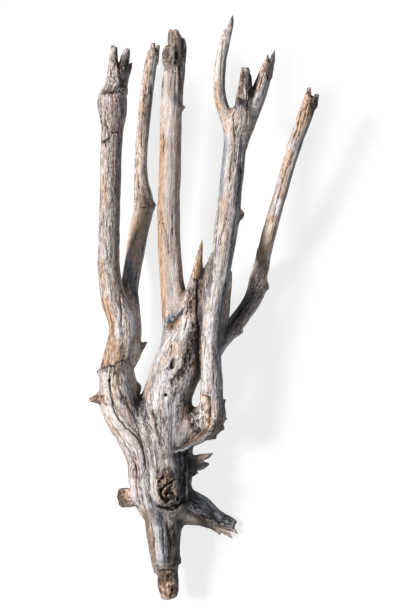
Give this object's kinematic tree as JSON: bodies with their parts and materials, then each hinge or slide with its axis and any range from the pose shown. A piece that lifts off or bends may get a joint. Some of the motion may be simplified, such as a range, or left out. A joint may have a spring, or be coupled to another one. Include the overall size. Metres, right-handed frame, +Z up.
{
  "type": "driftwood",
  "caption": "Branching piece of driftwood, weathered grey-brown and bare of bark, with a knotted trunk, long slender limbs with broken tips, and short root stubs. It lies flat.",
  "frame": {"origin": "middle of the footprint, on the surface that the wood lies on", "axes": "+Z up from that surface; +Y along the wood from the worn stump to the tips of the limbs; +X to the right seen from above"},
  "size_m": [0.3426, 0.8748, 0.1239],
  "materials": {
    "weathered_wood": "bare weathered wood: matte, bleached grey and tan with brown streaks and fine open grain"
  },
  "bodies": {
    "root": {"driftwood": "weathered_wood"}
  },
  "joints": []
}
